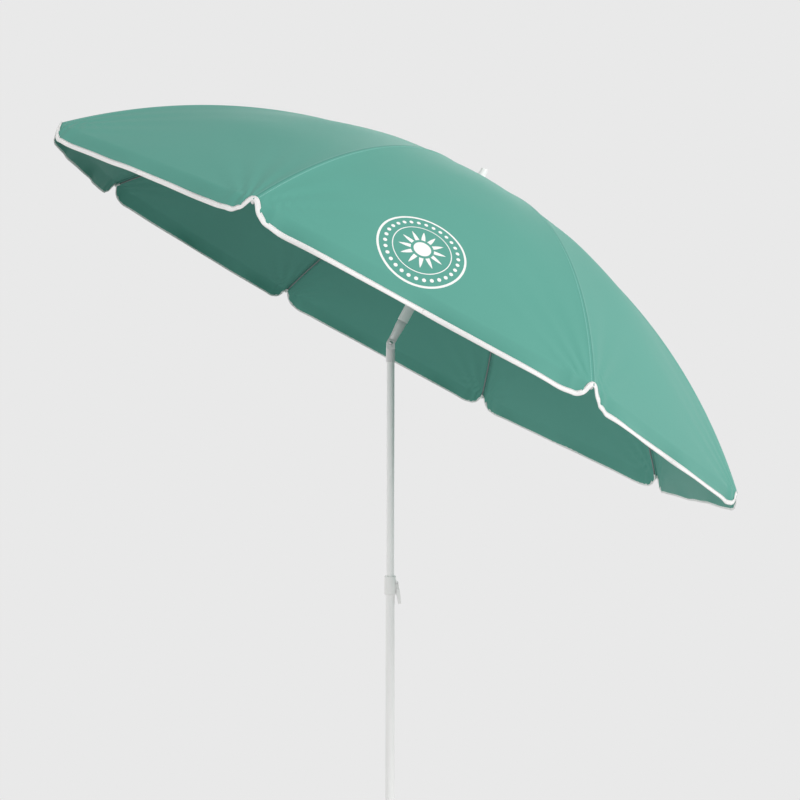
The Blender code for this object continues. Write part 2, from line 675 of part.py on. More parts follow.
def bracket_mesh():
    # Along the rib, with the rib's axis at zero height: a bored block with two cheeks below and a pin across them.
    half = BRACKET_LENGTH / 2
    side = BRACKET_WIDTH / 2
    crest = RIB_RADIUS + GAP + BRACKET_WALL
    low = -BRACKET_PIN_DROP - STRETCHER_EYE_RADIUS
    block = add("bracket_template", box_mesh("rib_bracket", (-half, -side, low), (half, side, crest)))
    bore = rod_mesh("bracket_bore", (-half * 2, 0, 0), (half * 2, 0, 0), RIB_RADIUS + GAP, sides=12)
    slot_half = STRETCHER_EYE_WIDTH / 2 + SLIDE_GAP
    slot_top = -BRACKET_PIN_DROP + STRETCHER_EYE_RADIUS + SLIDE_GAP
    slot = box_mesh("bracket_slot", (-half * 2, -slot_half, low * 2), (half * 2, slot_half, slot_top))
    pin_end = side - 0.0002
    pin = rod_mesh("bracket_pin", (0, -pin_end, -BRACKET_PIN_DROP), (0, pin_end, -BRACKET_PIN_DROP),
                   BRACKET_PIN_RADIUS, sides=12)
    shape_with(block, None, [], [bore, slot])
    boolean(block, add("bracket_pin", pin, helper=True), "UNION")
    mesh = baked(block)
    mesh.transform(rib_frame(BRACKET_AT))
    return mesh


def stretcher_pivot():
    return rib_point(BRACKET_AT, -BRACKET_PIN_DROP)


def runner_pivot():
    return Vector((RUNNER_RING_RADIUS - CROWN_RING_RADIUS, 0, -RUNNER_OPEN_DROP))


def stretcher_mesh():
    # Its origin is its pivot on the rib, and its tongue points to the runner.
    reach = runner_pivot() - stretcher_pivot()
    length = reach.length
    start = STRETCHER_EYE_RADIUS + STRETCHER_NECK
    flat_start = length - 0.016
    wire = rod_mesh("stretcher", (start, 0, 0), (flat_start + 0.004, 0, 0), STRETCHER_RADIUS, sides=10)
    rod = add("stretcher_template", wire)
    eye = rod_mesh("stretcher_eye", (0, -STRETCHER_EYE_WIDTH / 2, 0), (0, STRETCHER_EYE_WIDTH / 2, 0),
                   STRETCHER_EYE_RADIUS, sides=16)
    neck = box_mesh("stretcher_neck", (0, -STRETCHER_EYE_WIDTH / 2, -STRETCHER_RADIUS),
                    (start + 0.002, STRETCHER_EYE_WIDTH / 2, STRETCHER_RADIUS))
    tongue = outline_mesh("stretcher_tongue", arc((length, 0), EYE_RADIUS, -90, 90, 8)
                          + [(flat_start, EYE_RADIUS * 0.8), (flat_start, -EYE_RADIUS * 0.8)], EYE_WIDTH)
    hole = rod_mesh("stretcher_hole", (0, -0.01, 0), (0, 0.01, 0), BRACKET_PIN_RADIUS + GAP, sides=12)
    shape_with(rod, None, [eye, neck, tongue], [hole])
    mesh = baked(rod)
    mesh.transform(Matrix.Rotation(math.atan2(-reach.z, reach.x), 4, "Y"))
    return mesh


def panel_bulge(share_out, share_across):
    # Rise of the fabric between two ribs: none at the ribs, the crown and the hem.
    profile = share_out ** 2 * (1 - share_out) / (BULGE_PEAK ** 2 * (1 - BULGE_PEAK))
    return PANEL_BULGE * profile * math.sin(math.pi / 2 * share_across) ** 2


def canopy_mesh():
    # Underside of the fabric from one panel's middle, over the rib, to the next panel's middle.
    across = [-1, -0.72, -0.45, -0.2, -0.1, -0.05, 0, 0.05, 0.1, 0.2, 0.45, 0.72, 1]
    stations = [0.05, 0.12, 0.165, 0.22, 0.30, 0.40, 0.51, 0.62, 0.74, 0.87]
    rows = len(stations) + 5
    sheet = bmesh.new()
    bmesh.ops.create_grid(sheet, x_segments=rows - 1, y_segments=len(across) - 1, size=0.5)
    seat = CROWN_TOP + GAP
    shelf = (CROWN_RING_RADIUS + CROWN_FLANGE_REACH) / math.cos(HALF_SECTOR) + 0.001
    end_slope = rib_slope(RIB_LENGTH) + VALANCE_EXTRA_SLOPE
    for vert in sheet.verts:
        row = round((vert.co.x + 0.5) * (rows - 1))
        v = across[round((vert.co.y + 0.5) * (len(across) - 1))]
        share = 0.0
        if row == 0:
            radius, height = CANOPY_HOLE_RADIUS, seat
        elif row == 1:
            radius, height = shelf, seat
        elif row - 2 < len(stations):
            share = stations[row - 2]
            point = rib_point(share * RIB_LENGTH, FABRIC_OFFSET)
            radius, height = CROWN_RING_RADIUS + point.x, point.z
        else:
            share = 1.0
            point = rib_point(RIB_LENGTH, FABRIC_OFFSET)
            radius, height = CROWN_RING_RADIUS + point.x, point.z
        place = Vector((radius * (1 - math.sin(HALF_SECTOR) ** 2 * abs(v)),
                        radius * math.sin(HALF_SECTOR) * math.cos(HALF_SECTOR) * v,
                        height + panel_bulge(share, abs(v))))
        if row == rows - 2 or row == rows - 1:
            # The valance goes on past the hem's line and is notched at the rib.
            t = min(1.0, abs(place.y) / NOTCH_HALF_WIDTH)
            length = NOTCH_LEFT + (VALANCE_LENGTH - NOTCH_LEFT) * (1 - (1 - t) ** 2)
            length *= 0.5 if row == rows - 2 else 1.0
            side = math.copysign(1, v) if v else 0
            out = Matrix.Rotation(side * HALF_SECTOR, 3, "Z") @ Vector((1, 0, 0))
            place += out * length * math.cos(end_slope)
            place.z -= length * math.sin(end_slope)
        if abs(v) == 1:
            inwards = Vector((math.sin(HALF_SECTOR), -math.copysign(math.cos(HALF_SECTOR), v), 0))
            place += inwards * SECTOR_GAP / 2
        place.x -= CROWN_RING_RADIUS
        vert.co = place
    for face in sheet.faces:
        face.normal_update()
    if sum(face.normal.z for face in sheet.faces) < 0:
        bmesh.ops.reverse_faces(sheet, faces=sheet.faces)
    mesh = bpy.data.meshes.new("canopy_sector")
    sheet.to_mesh(mesh)
    sheet.free()
    template = add("canopy_template", mesh)
    shell = template.modifiers.new("shell", "SOLIDIFY")
    shell.thickness = FABRIC_THICKNESS
    shell.offset = 1.0
    return baked(template)


def build_ribs(mast, steel, plastic, fabric):
    shared = {
        "rib": (rib_mesh(), steel),
        "rib_tip": (rib_tip_mesh(), plastic),
        "rib_bracket": (bracket_mesh(), steel),
        "canopy_sector": (canopy_mesh(), fabric),
    }
    stretcher = stretcher_mesh()
    for k in range(RIB_COUNT):
        angle = rib_azimuth(k)
        place = (CROWN_RING_RADIUS * math.cos(angle), CROWN_RING_RADIUS * math.sin(angle), CROWN_HEIGHT)
        pivot = empty(f"rib_axis_{k + 1}", mast, place, (0, 0, angle))
        for name, (mesh, finish) in shared.items():
            add(f"{name}_{k + 1}", mesh, pivot, finish=finish)
        add(f"stretcher_{k + 1}", stretcher, pivot, stretcher_pivot(), finish=steel)


def main():
    for old in list(bpy.data.objects):
        bpy.data.objects.remove(old)
    scene = bpy.context.scene
    scene.collection.children.link(parts)
    scene.collection.children.link(cutters)

    white_paint = material("white_paint", (0.80, 0.79, 0.77), 0.35)
    white_plastic = material("white_plastic", (0.82, 0.81, 0.79), 0.45)
    grey_metal = material("grey_metal", (0.62, 0.62, 0.62), 0.35, 0.6)
    steel = material("steel", (0.55, 0.55, 0.55), 0.3, 1.0)
    dark_steel = material("dark_steel", (0.30, 0.31, 0.32), 0.35, 0.8)
    teal_fabric = material("teal_fabric", (0.13, 0.38, 0.32), 0.8)

    build_lower_pole(white_paint)
    build_ground_spike(white_plastic)
    build_clamp(white_plastic, steel)
    pole_top = build_upper_pole(white_paint, white_plastic)
    back, pocket_floor = build_tilt_fork(grey_metal, steel, pole_top)
    build_tilt_button(white_plastic, steel, back, pocket_floor)

    mast = empty("mast_frame", None, (0, 0, HINGE_HEIGHT), (0, REST_TILT, 0))
    build_tilt_head(mast, grey_metal)
    catch_top = build_runner(mast, white_plastic) - GAP
    tube_top = build_mast_tube(mast, white_paint, catch_top)
    build_crown(mast, white_plastic, steel, tube_top)
    build_ferrule(mast, white_plastic)
    build_runner_catch(mast, steel, catch_top)
    build_ribs(mast, dark_steel, white_plastic, teal_fabric)


main()
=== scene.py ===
import json
import math

import bmesh
import bpy
from mathutils import Matrix, Vector


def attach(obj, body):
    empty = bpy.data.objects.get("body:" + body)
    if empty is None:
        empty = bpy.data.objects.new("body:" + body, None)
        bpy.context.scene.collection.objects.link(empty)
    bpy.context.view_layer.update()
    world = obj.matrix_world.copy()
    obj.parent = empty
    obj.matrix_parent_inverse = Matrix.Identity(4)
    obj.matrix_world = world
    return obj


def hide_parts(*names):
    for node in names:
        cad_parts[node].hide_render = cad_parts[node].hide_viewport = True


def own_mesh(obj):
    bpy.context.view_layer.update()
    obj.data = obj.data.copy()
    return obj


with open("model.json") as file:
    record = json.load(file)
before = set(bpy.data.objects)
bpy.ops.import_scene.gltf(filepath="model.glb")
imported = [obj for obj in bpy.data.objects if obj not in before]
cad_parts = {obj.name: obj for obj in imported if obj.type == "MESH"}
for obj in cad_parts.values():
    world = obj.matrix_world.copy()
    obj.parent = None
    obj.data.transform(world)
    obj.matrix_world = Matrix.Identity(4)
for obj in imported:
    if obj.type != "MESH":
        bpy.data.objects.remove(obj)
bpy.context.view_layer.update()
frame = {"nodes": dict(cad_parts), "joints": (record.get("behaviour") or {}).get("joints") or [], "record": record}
joints = {joint["name"]: joint for joint in frame["joints"]}
print("frame loaded:", len(frame["nodes"]), "nodes")


def deselectAll():
    if bpy.context.mode != "OBJECT":
        bpy.ops.object.mode_set(mode="OBJECT")
    bpy.ops.object.select_all(action="DESELECT")


def makeActive(piece):
    deselectAll()
    piece.select_set(True)
    bpy.context.view_layer.objects.active = piece


def applyAll(piece):
    # leaves the piece at the origin, unturned, with its modifiers in its mesh
    makeActive(piece)
    for modifier in list(piece.modifiers):
        bpy.ops.object.modifier_apply(modifier=modifier.name)
    bpy.ops.object.transform_apply(location=True, rotation=True, scale=True)


def smooth(piece, degrees=35):
    makeActive(piece)
    bpy.ops.object.shade_smooth_by_angle(angle=math.radians(degrees))


def bevelEdges(piece, width, segments=3, degrees=30):
    step = piece.modifiers.new("round", "BEVEL")
    step.width = width
    step.segments = segments
    step.limit_method = "ANGLE"
    step.angle_limit = math.radians(degrees)


# where the tilted mast stands: its axis is the runner's, and its ribs' pivots circle the crown
mastAxis = Vector(joints["runner_slide"]["axis"])
ribJoints = [joints["canopy_fold"]] + [joints[f"rib_{k}_fold"] for k in range(2, 9)]
ribCount = len(ribJoints)
crownCentre = sum((Vector(joint["pos_m"]) for joint in ribJoints), Vector()) / ribCount
crownRadius = (Vector(ribJoints[0]["pos_m"]) - crownCentre).length
tiltPin = Vector(joints["tilt"]["pos_m"])
mastX = Vector((0, 1, 0)).cross(mastAxis).normalized()
mastY = mastAxis.cross(mastX)
crownPlace = Matrix.Translation(crownCentre) @ Matrix((mastX, mastY, mastAxis)).transposed().to_4x4()
halfSector = math.pi / ribCount


def sectorPlace(k):
    # frame at the mast's axis, level with the rib pivots, +X along rib k
    toRib = Vector(ribJoints[k]["pos_m"]) - crownCentre
    angle = math.atan2(toRib.dot(mastY), toRib.dot(mastX))
    return crownPlace @ Matrix.Rotation(angle, 4, "Z")


class Wire:
    # one socket, so that shader maths reads as an expression
    def __init__(self, finish, socket):
        self.finish = finish
        self.socket = socket

    def combine(self, operation, first, second):
        return self.finish.node("ShaderNodeMath", {"operation": operation}, {0: first, 1: second})

    def __add__(self, other):
        return self.combine("ADD", self, other)

    def __radd__(self, other):
        return self.combine("ADD", other, self)

    def __sub__(self, other):
        return self.combine("SUBTRACT", self, other)

    def __rsub__(self, other):
        return self.combine("SUBTRACT", other, self)

    def __mul__(self, other):
        return self.combine("MULTIPLY", self, other)

    def __rmul__(self, other):
        return self.combine("MULTIPLY", other, self)

    def __truediv__(self, other):
        return self.combine("DIVIDE", self, other)

    def __rtruediv__(self, other):
        return self.combine("DIVIDE", other, self)

    def below(self, limit):
        return self.combine("LESS_THAN", self, limit)

    def above(self, limit):
        return self.combine("GREATER_THAN", self, limit)

    def maximum(self, other):
        return self.combine("MAXIMUM", self, other)


class Finish:
    # one material: a Principled shader and the nodes that feed it
    def __init__(self, name, roughness, metallic=0.0, sheen=0.0, coat=0.0, specular=0.5):
        self.material = bpy.data.materials.new(name)
        self.material.use_nodes = True
        self.nodes = self.material.node_tree.nodes
        self.links = self.material.node_tree.links
        self.shader = self.nodes["Principled BSDF"]
        self.shader.inputs["Roughness"].default_value = roughness
        self.shader.inputs["Metallic"].default_value = metallic
        self.shader.inputs["Sheen Weight"].default_value = sheen
        self.shader.inputs["Coat Weight"].default_value = coat
        self.shader.inputs["Specular IOR Level"].default_value = specular

    def node(self, kind, settings=None, sockets=None, out=0):
        made = self.nodes.new(kind)
        for key, value in (settings or {}).items():
            if key == "stops":
                self.setStops(made.color_ramp, value)
            else:
                setattr(made, key, value)
        for key, value in (sockets or {}).items():
            if isinstance(value, Wire):
                self.links.new(value.socket, made.inputs[key])
            else:
                made.inputs[key].default_value = value
        return Wire(self, made.outputs[out])

    def setStops(self, ramp, stops):
        ramp.elements[0].position, ramp.elements[0].color = stops[0][0], (*stops[0][1], 1)
        ramp.elements[1].position, ramp.elements[1].color = stops[-1][0], (*stops[-1][1], 1)
        for place, color in stops[1:-1]:
            ramp.elements.new(place).color = (*color, 1)

    def feed(self, name, wire):
        self.links.new(wire.socket, self.shader.inputs[name])

    def objectPoint(self):
        return self.node("ShaderNodeTexCoord", out=3)

    def maths(self, operation, *values):
        return self.node("ShaderNodeMath", {"operation": operation}, dict(enumerate(values)))

    def layer(self, name):
        # a UV map of the piece: the point, then its two lengths in metres
        point = self.node("ShaderNodeUVMap", {"uv_map": name})
        split = self.node("ShaderNodeSeparateXYZ", None, {0: point})
        return point, split, Wire(self, split.socket.node.outputs[1])

    def stretched(self, point, scale):
        return self.node("ShaderNodeMapping", {"vector_type": "POINT"}, {"Vector": point, "Scale": scale})

    def noise(self, point, scale, detail=3.0, roughness=0.5):
        return self.node("ShaderNodeTexNoise", None,
                         {"Vector": point, "Scale": scale, "Detail": detail, "Roughness": roughness})

    def mixColor(self, share, first, second):
        made = self.nodes.new("ShaderNodeMix")
        made.data_type = "RGBA"
        # inputs 6 and 7 and output 2 are the colour ones
        for socket, value in ((made.inputs[0], share), (made.inputs[6], first), (made.inputs[7], second)):
            if isinstance(value, Wire):
                self.links.new(value.socket, socket)
            elif isinstance(value, tuple):
                socket.default_value = (*value, 1)
            else:
                socket.default_value = value
        return Wire(self, made.outputs[2])

    def bump(self, height, strength, distance, under=None):
        sockets = {"Height": height, "Strength": strength, "Distance": distance}
        if under is not None:
            sockets["Normal"] = under
        return self.node("ShaderNodeBump", None, sockets)


def dashes(finish, along, length, share):
    # 1 on a stitch, 0 between stitches
    return finish.maths("FRACT", along / length).below(share)


def lineAt(finish, distance, place, halfWidth):
    # 1 within halfWidth of the place, 0 elsewhere
    return finish.maths("ABSOLUTE", distance - place).below(halfWidth)


cloth = {
    "teal": (0.104, 0.345, 0.280),
    "tealDeep": (0.091, 0.318, 0.256),
    "stitch": (0.30, 0.60, 0.54),
    # painted shade for the crease of the seam along each rib
    "foldPaintedShade": (0.05, 0.20, 0.17),
    "white": (0.86, 0.85, 0.83),
    "threadPitch": 0.0022,
    "slubStretch": (900.0, 60.0, 1.0),
    "stitchFromRib": 0.0045,
    "stitchHalfWidth": 0.0007,
    "stitchPitch": 0.0042,
    "stitchShare": 0.68,  # thread showing in each pitch
    "foldHalfWidth": 0.0012,
}


def sunPrint(finish, across, down):
    # a plain round print: a small rayed sun in two rings, with a row of dots between the rings
    x = across - printed["centreAcross"]
    y = down - printed["centreDown"]
    radius = finish.maths("SQRT", x * x + y * y)
    angle = finish.maths("ARCTAN2", y, x)

    def fromMiddleOf(count):
        # how far round from the middle of its own share of the circle, 0 to 0.5
        turn = finish.maths("FRACT", angle / (2 * math.pi / count) + 2.0 * count)
        return finish.maths("ABSOLUTE", turn - 0.5)

    taper = (printed["rayEnd"] - radius) * (printed["rayWidth"] / (printed["rayEnd"] - printed["rayStart"]))
    ray = fromMiddleOf(printed["rays"]).below(taper)
    ray = ray * radius.above(printed["rayStart"]) * radius.below(printed["rayEnd"])
    aside = fromMiddleOf(printed["dots"]) * (2 * math.pi / printed["dots"] * printed["dotRow"])
    off = radius - printed["dotRow"]
    apart = finish.maths("SQRT", aside * aside + off * off)
    ink = radius.below(printed["disc"]).maximum(ray).maximum(apart.below(printed["dotSize"]))
    for place, halfWidth in printed["rings"]:
        ink = ink.maximum(lineAt(finish, radius, place, halfWidth))
    return ink


def makeCloth(name, withSun=False):
    finish = Finish(name, 0.66, sheen=0.06, specular=0.22)
    panel, across, down = finish.layer("panel")
    edges, fromRib, fromHem = finish.layer("edges")
    point = finish.objectPoint()
    blotch = finish.noise(point, 5.0, 2.0)
    slub = finish.noise(finish.stretched(panel, cloth["slubStretch"]), 1.0, 2.0)
    tone = blotch * 0.7 + slub * 0.3
    color = finish.mixColor(tone, cloth["tealDeep"], cloth["teal"])
    stitchRow = lineAt(finish, fromRib, cloth["stitchFromRib"], cloth["stitchHalfWidth"])
    stitch = stitchRow * dashes(finish, down, cloth["stitchPitch"], cloth["stitchShare"])
    color = finish.mixColor(stitch * 0.55, color, cloth["stitch"])
    fold = lineAt(finish, fromRib, 0.0, cloth["foldHalfWidth"])
    # painted shade: the cloth is darkened along the fold over each rib, where its crease would shade it
    color = finish.mixColor(fold * 0.45, color, cloth["foldPaintedShade"])
    if withSun:
        ink = sunPrint(finish, across, down)
        worn = finish.noise(point, 420.0, 2.0).above(0.30)
        color = finish.mixColor(ink * (worn * 0.1 + 0.9), color, cloth["white"])
    finish.feed("Base Color", color)
    finish.feed("Roughness", blotch * 0.10 + 0.56)
    warp = finish.maths("SINE", across * (2 * math.pi / cloth["threadPitch"]))
    weft = finish.maths("SINE", down * (2 * math.pi / cloth["threadPitch"]))
    weave = warp * weft
    crush = finish.noise(point, 38.0, 4.0)
    height = finish.bump(weave, 0.18, 0.0002)
    height = finish.bump(crush, 0.22, 0.0012, height)
    height = finish.bump(stitch - fold, 0.6, 0.0006, height)
    finish.feed("Normal", height)
    return finish.material


webbing = {
    "light": (0.93, 0.925, 0.915),
    "soiled": (0.84, 0.83, 0.815),
    "stitch": (0.70, 0.69, 0.67),
    "stitchFromEdge": 0.0068,
    "stitchHalfWidth": 0.0006,
    "stitchPitch": 0.0040,
    "stitchShare": 0.70,
    "ribPitch": 0.0012,
    "twillPitch": 0.0021,
}


def makeTape(name):
    # woven binding tape, with one row of stitches along its inner edge
    finish = Finish(name, 0.70, sheen=0.15, specular=0.3)
    panel, along, across = finish.layer("tape")
    point = finish.objectPoint()
    soil = finish.noise(point, 24.0, 4.0)
    color = finish.mixColor(soil, webbing["soiled"], webbing["light"])
    row = lineAt(finish, across, webbing["stitchFromEdge"], webbing["stitchHalfWidth"])
    stitch = row * dashes(finish, along, webbing["stitchPitch"], webbing["stitchShare"])
    color = finish.mixColor(stitch * 0.5, color, webbing["stitch"])
    finish.feed("Base Color", color)
    finish.feed("Roughness", soil * 0.12 + 0.64)
    rib = finish.maths("SINE", along * (2 * math.pi / webbing["ribPitch"]))
    twill = finish.maths("SINE", (along + across) * (2 * math.pi / webbing["twillPitch"]))
    height = finish.bump(rib * 0.4 + twill * 0.6, 0.35, 0.00025)
    height = finish.bump(stitch, 0.7, 0.0006, height)
    finish.feed("Normal", height)
    return finish.material


def makePaint(name, light, dark, roughness, peel=900.0):
    # powder coat: fine orange peel, faint scuffs along the tube
    finish = Finish(name, roughness, coat=0.12)
    point = finish.objectPoint()
    scuff = finish.noise(finish.stretched(point, (60.0, 60.0, 6.0)), 1.0, 6.0, 0.7)
    mark = finish.node("ShaderNodeValToRGB", {"stops": [(0.60, (0, 0, 0)), (0.80, (1, 1, 1))]}, {0: scuff})
    grime = finish.noise(point, 9.0, 3.0)
    color = finish.mixColor(grime * 0.5, light, tuple(0.93 * c for c in light))
    color = finish.mixColor(mark * 0.10, color, dark)
    finish.feed("Base Color", color)
    finish.feed("Roughness", mark * 0.22 + roughness)
    finish.feed("Normal", finish.bump(finish.noise(point, peel, 2.0), 0.12, 0.0002))
    return finish.material


def makePlastic(name, light, shade, roughness):
    # moulded plastic: faint flow marks and a fine spark texture
    finish = Finish(name, roughness)
    point = finish.objectPoint()
    flow = finish.noise(point, 30.0, 3.0, 0.6)
    spark = finish.noise(point, 1800.0, 2.0)
    finish.feed("Base Color", finish.mixColor(flow, light, shade))
    finish.feed("Roughness", flow * 0.14 + (roughness - 0.07))
    finish.feed("Normal", finish.bump(spark, 0.15, 0.00015))
    return finish.material


def makeMetal(name, light, shade, roughness, metallic):
    # drawn or cast metal: streaks and small dull spots
    finish = Finish(name, roughness, metallic)
    point = finish.objectPoint()
    streak = finish.noise(finish.stretched(point, (700.0, 700.0, 90.0)), 1.0, 3.0)
    spots = finish.noise(point, 160.0, 4.0, 0.65)
    finish.feed("Base Color", finish.mixColor(spots, light, shade))
    finish.feed("Roughness", spots * 0.2 + streak * 0.1 + (roughness - 0.15))
    finish.feed("Normal", finish.bump(streak, 0.12, 0.0001))
    return finish.material


printed = {
    "centreAcross": -0.047,  # on the front panel, between ribs 6 and 7
    "centreDown": 0.915,
    "disc": 0.0185,
    "rayStart": 0.0245,
    "rayEnd": 0.0500,
    "rays": 12,
    "outOfTheWay": 3.0,  # moves the map off the print where there is none
    "rayWidth": 0.34,  # half a ray's foot, as a share of its turn
    "rings": [(0.0620, 0.0010), (0.0925, 0.0024)],
    "dotRow": 0.0770,
    "dotSize": 0.0042,
    "dots": 30,
}

clothPlain = makeCloth("canopyCloth")
clothSun = makeCloth("canopyClothSun", True)
tapeFinish = makeTape("hemTape")
polePaint = makePaint("polePaint", (0.88, 0.875, 0.865), (0.50, 0.49, 0.47), 0.34)
whitePlastic = makePlastic("whitePlastic", (0.87, 0.865, 0.85), (0.81, 0.805, 0.79), 0.44)
greyPlastic = makePlastic("greyPlastic", (0.70, 0.70, 0.69), (0.60, 0.60, 0.59), 0.48)
jointMetal = makeMetal("jointMetal", (0.74, 0.74, 0.735), (0.66, 0.66, 0.655), 0.42, 0.2)
ribSteel = makeMetal("ribSteel", (0.34, 0.35, 0.36), (0.24, 0.25, 0.26), 0.42, 0.7)
brightSteel = makeMetal("brightSteel", (0.66, 0.66, 0.65), (0.50, 0.50, 0.50), 0.36, 1.0)
print("materials made")


canopy = {
    "startSlope": math.radians(1.5),  # droop of a rib at the crown
    "ribLift": 0.0056,  # rib axis to the middle of the cloth
    "crownLift": 0.0064,  # the same over the crown
    "crownShelf": 0.0275,  # how far out it stays level
    "ribFollows": 0.05,  # along the rib, where the cloth starts to follow it
    "startRadius": 0.0235,  # where the sectors begin, under the crown's patch
    "thickness": 0.0008,
    "panelBulge": 0.0155,  # rise of a panel's middle between two ribs
    "bulgePeak": 2 / 3,
    "valance": 0.042,
    "valanceExtraSlope": math.radians(12),
    "valanceHang": 0.42,  # how far its own weight turns it from that slope
    "insideTape": 0.94,  # the cloth ends inside its folded tape
    "notchHalfWidth": 0.055,
    "notchRound": 0.007,  # how wide the rounded end of a notch is
    "notchLeft": 0.004,  # cloth left beyond the rib's end in a notch
    "notchSteep": 2.6,
    "ribTurn": 0.02,  # over this width the valance turns from one panel's way to the next
    "seamRise": 0.0011,
    "seamHalfWidth": 0.0052,
    "rowsOut": 66,
    "rowsValance": 7,
    "columns": 26,  # in each half of a sector
}

ribEnd = max((v.co for v in frame["nodes"]["rib_1"].data.vertices), key=lambda co: (co - crownCentre).length)
ribEndLocal = crownPlace.inverted() @ ribEnd
ribReach = math.hypot(ribEndLocal.x, ribEndLocal.y) - crownRadius
chordSlope = math.atan2(-ribEndLocal.z, ribReach)
ribBend = 2 * (chordSlope - canopy["startSlope"])
bendRadius = math.hypot(ribReach, ribEndLocal.z) / (2 * math.sin(ribBend / 2))
ribLength = bendRadius * ribBend


sectorDown = [sectorPlace(k).to_3x3().inverted() @ Vector((0, 0, -1)) for k in range(ribCount)]


def ribProfile(s, lift):
    # (radius from the mast's axis, height over the rib pivots) at arc length s along a rib
    slope = canopy["startSlope"] + s / bendRadius
    out = bendRadius * (math.sin(slope) - math.sin(canopy["startSlope"])) + lift * math.sin(slope)
    up = bendRadius * (math.cos(slope) - math.cos(canopy["startSlope"])) + lift * math.cos(slope)
    return crownRadius + out, up


def clothProfile(s):
    # over a rib: flat across the crown, then a set distance above the rib
    if s <= canopy["crownShelf"]:
        return max(s, canopy["startRadius"]), canopy["crownLift"]
    shelf, start = canopy["crownShelf"], canopy["ribFollows"]
    if s < crownRadius + start:
        t = (s - shelf) / (crownRadius + start - shelf)
        endRadius, endUp = ribProfile(start, canopy["ribLift"])
        return shelf + (endRadius - shelf) * t, canopy["crownLift"] + (endUp - canopy["crownLift"]) * t
    return ribProfile(s - crownRadius, canopy["ribLift"])


creases = {
    # heights in metres, waves counted across the fan, the panel or its length, reach in metres
    "pull": {"height": 0.0016, "waves": 17, "reach": 0.16},
    "crownPull": {"height": 0.0007, "waves": 5, "reach": 0.16},
    "slack": {"height": 0.0022, "waves": 1.5},
    "ripple": {"height": 0.0011, "waves": 9},
    "hemWave": {"height": 0.0052, "waves": 6.5},
    "hemFlutter": {"height": 0.0018, "waves": 15},
    "fanWidth": 0.38,  # half a panel's width against its length
}


def creaseDepth(panel, t, s):
    # t runs from -1 to 1 across a panel, s down it: pulls run in from the rib ends and out from the crown
    total = crownRadius + ribLength
    share = s / total
    edge = 1 - abs(t)
    aside = edge * creases["fanWidth"] * share
    middle = math.cos(math.pi * t / 2) ** 2
    fromTip = math.hypot((total - s) * 0.9, aside)
    fan = math.atan2(aside, max(1e-4, total - s + 0.03))
    wave = creases["pull"]
    pull = wave["height"] * math.sin(fan * wave["waves"] + panel * 1.3)
    pull *= math.exp(-fromTip / wave["reach"]) * min(1, edge * 14)
    wave = creases["crownPull"]
    crownPull = wave["height"] * math.sin(t * math.pi * wave["waves"] + panel)
    crownPull *= math.exp(-s / wave["reach"]) * min(1, edge * 8) * min(1, s * 12)
    wave = creases["slack"]
    slack = wave["height"] * math.sin(math.pi * (wave["waves"] * share + 0.37 * panel)) * middle
    wave = creases["ripple"]
    ripple = wave["height"] * math.sin(wave["waves"] * share * math.pi + 2.1 * panel + 1.7 * t) * middle * share
    return pull + crownPull + (slack + ripple) * min(1, share * 3)


def hemWave(panel, t):
    # how far the valance's edge stands in or out
    wide, short = creases["hemWave"], creases["hemFlutter"]
    wave = wide["height"] * math.sin(wide["waves"] * t + 1.9 * panel)
    wave += short["height"] * math.sin(short["waves"] * t + 0.7 * panel)
    return wave * min(1, (1 - abs(t)) * 6)


def clothPoint(k, v, row):
    # row counts lengths from 0 at the crown to 1 at the hem's line, then 1 to 2 down the valance
    total = crownRadius + ribLength
    s = canopy["startRadius"] + (total - canopy["startRadius"]) * min(1.0, row)
    radius, height = clothProfile(s)
    across = abs(v)
    side = math.copysign(1, v)
    peak = canopy["bulgePeak"]
    share = max(0.0, (s - crownRadius) / ribLength)
    bulge = canopy["panelBulge"] * share ** 2 * (1 - share) / (peak ** 2 * (1 - peak))
    bulge *= math.sin(math.pi / 2 * across) ** 2
    point = Vector((radius * (1 - math.sin(halfSector) ** 2 * across),
                    radius * math.sin(halfSector) * math.cos(halfSector) * v, height + bulge))
    slope = canopy["startSlope"] + max(0.0, s - crownRadius) / bendRadius
    outward = Vector((math.cos(halfSector), side * math.sin(halfSector), 0))
    normal = Vector((outward.x * math.sin(slope), outward.y * math.sin(slope), math.cos(slope)))
    panel, t = (k, across - 1) if v > 0 else ((k - 1) % ribCount, 1 - across)
    point -= normal * creaseDepth(panel, t, s)
    if row > 1:
        reach = min(1.0, abs(point.y) / canopy["notchHalfWidth"])
        steep = canopy["notchSteep"]
        grown = math.tanh(steep * reach) / math.tanh(steep)
        grown *= 1 - math.exp(-(abs(point.y) / canopy["notchRound"]) ** 2)
        length = canopy["notchLeft"] + (canopy["valance"] - canopy["notchLeft"]) * grown
        down = slope + canopy["valanceExtraSlope"]
        turned = halfSector * math.tanh(point.y / canopy["ribTurn"])
        way = Vector((math.cos(turned), math.sin(turned), 0))
        stiff = way * math.cos(down) - Vector((0, 0, math.sin(down)))
        hang = stiff.lerp(sectorDown[k], canopy["valanceHang"] * (row - 1) ** 0.5).normalized()
        point += hang * (length * (row - 1))
        point += way * (hemWave(panel, t) * (row - 1) ** 2)
        s += length * (row - 1)
    return point, s, panel, t


def clothRows():
    rows = [i / canopy["rowsOut"] for i in range(canopy["rowsOut"] + 1)]
    steps = canopy["rowsValance"]
    return rows + [1 + canopy["insideTape"] * (i + 1) / steps for i in range(steps)]


def clothColumns():
    # closer together towards the rib, where the notch is
    half = [(i / canopy["columns"]) ** 1.5 for i in range(1, canopy["columns"] + 1)]
    return [-v for v in reversed(half)] + [0.0] + half


def ridge(point, s):
    # the flat felled seam stands a little proud over the rib
    return canopy["seamRise"] * math.exp(-(point.y / canopy["seamHalfWidth"]) ** 4) * min(1, s * 8)


def surfaceAt(k, v, row):
    point, s, panel, t = clothPoint(k, v, row)
    point.z += ridge(point, s)
    return point


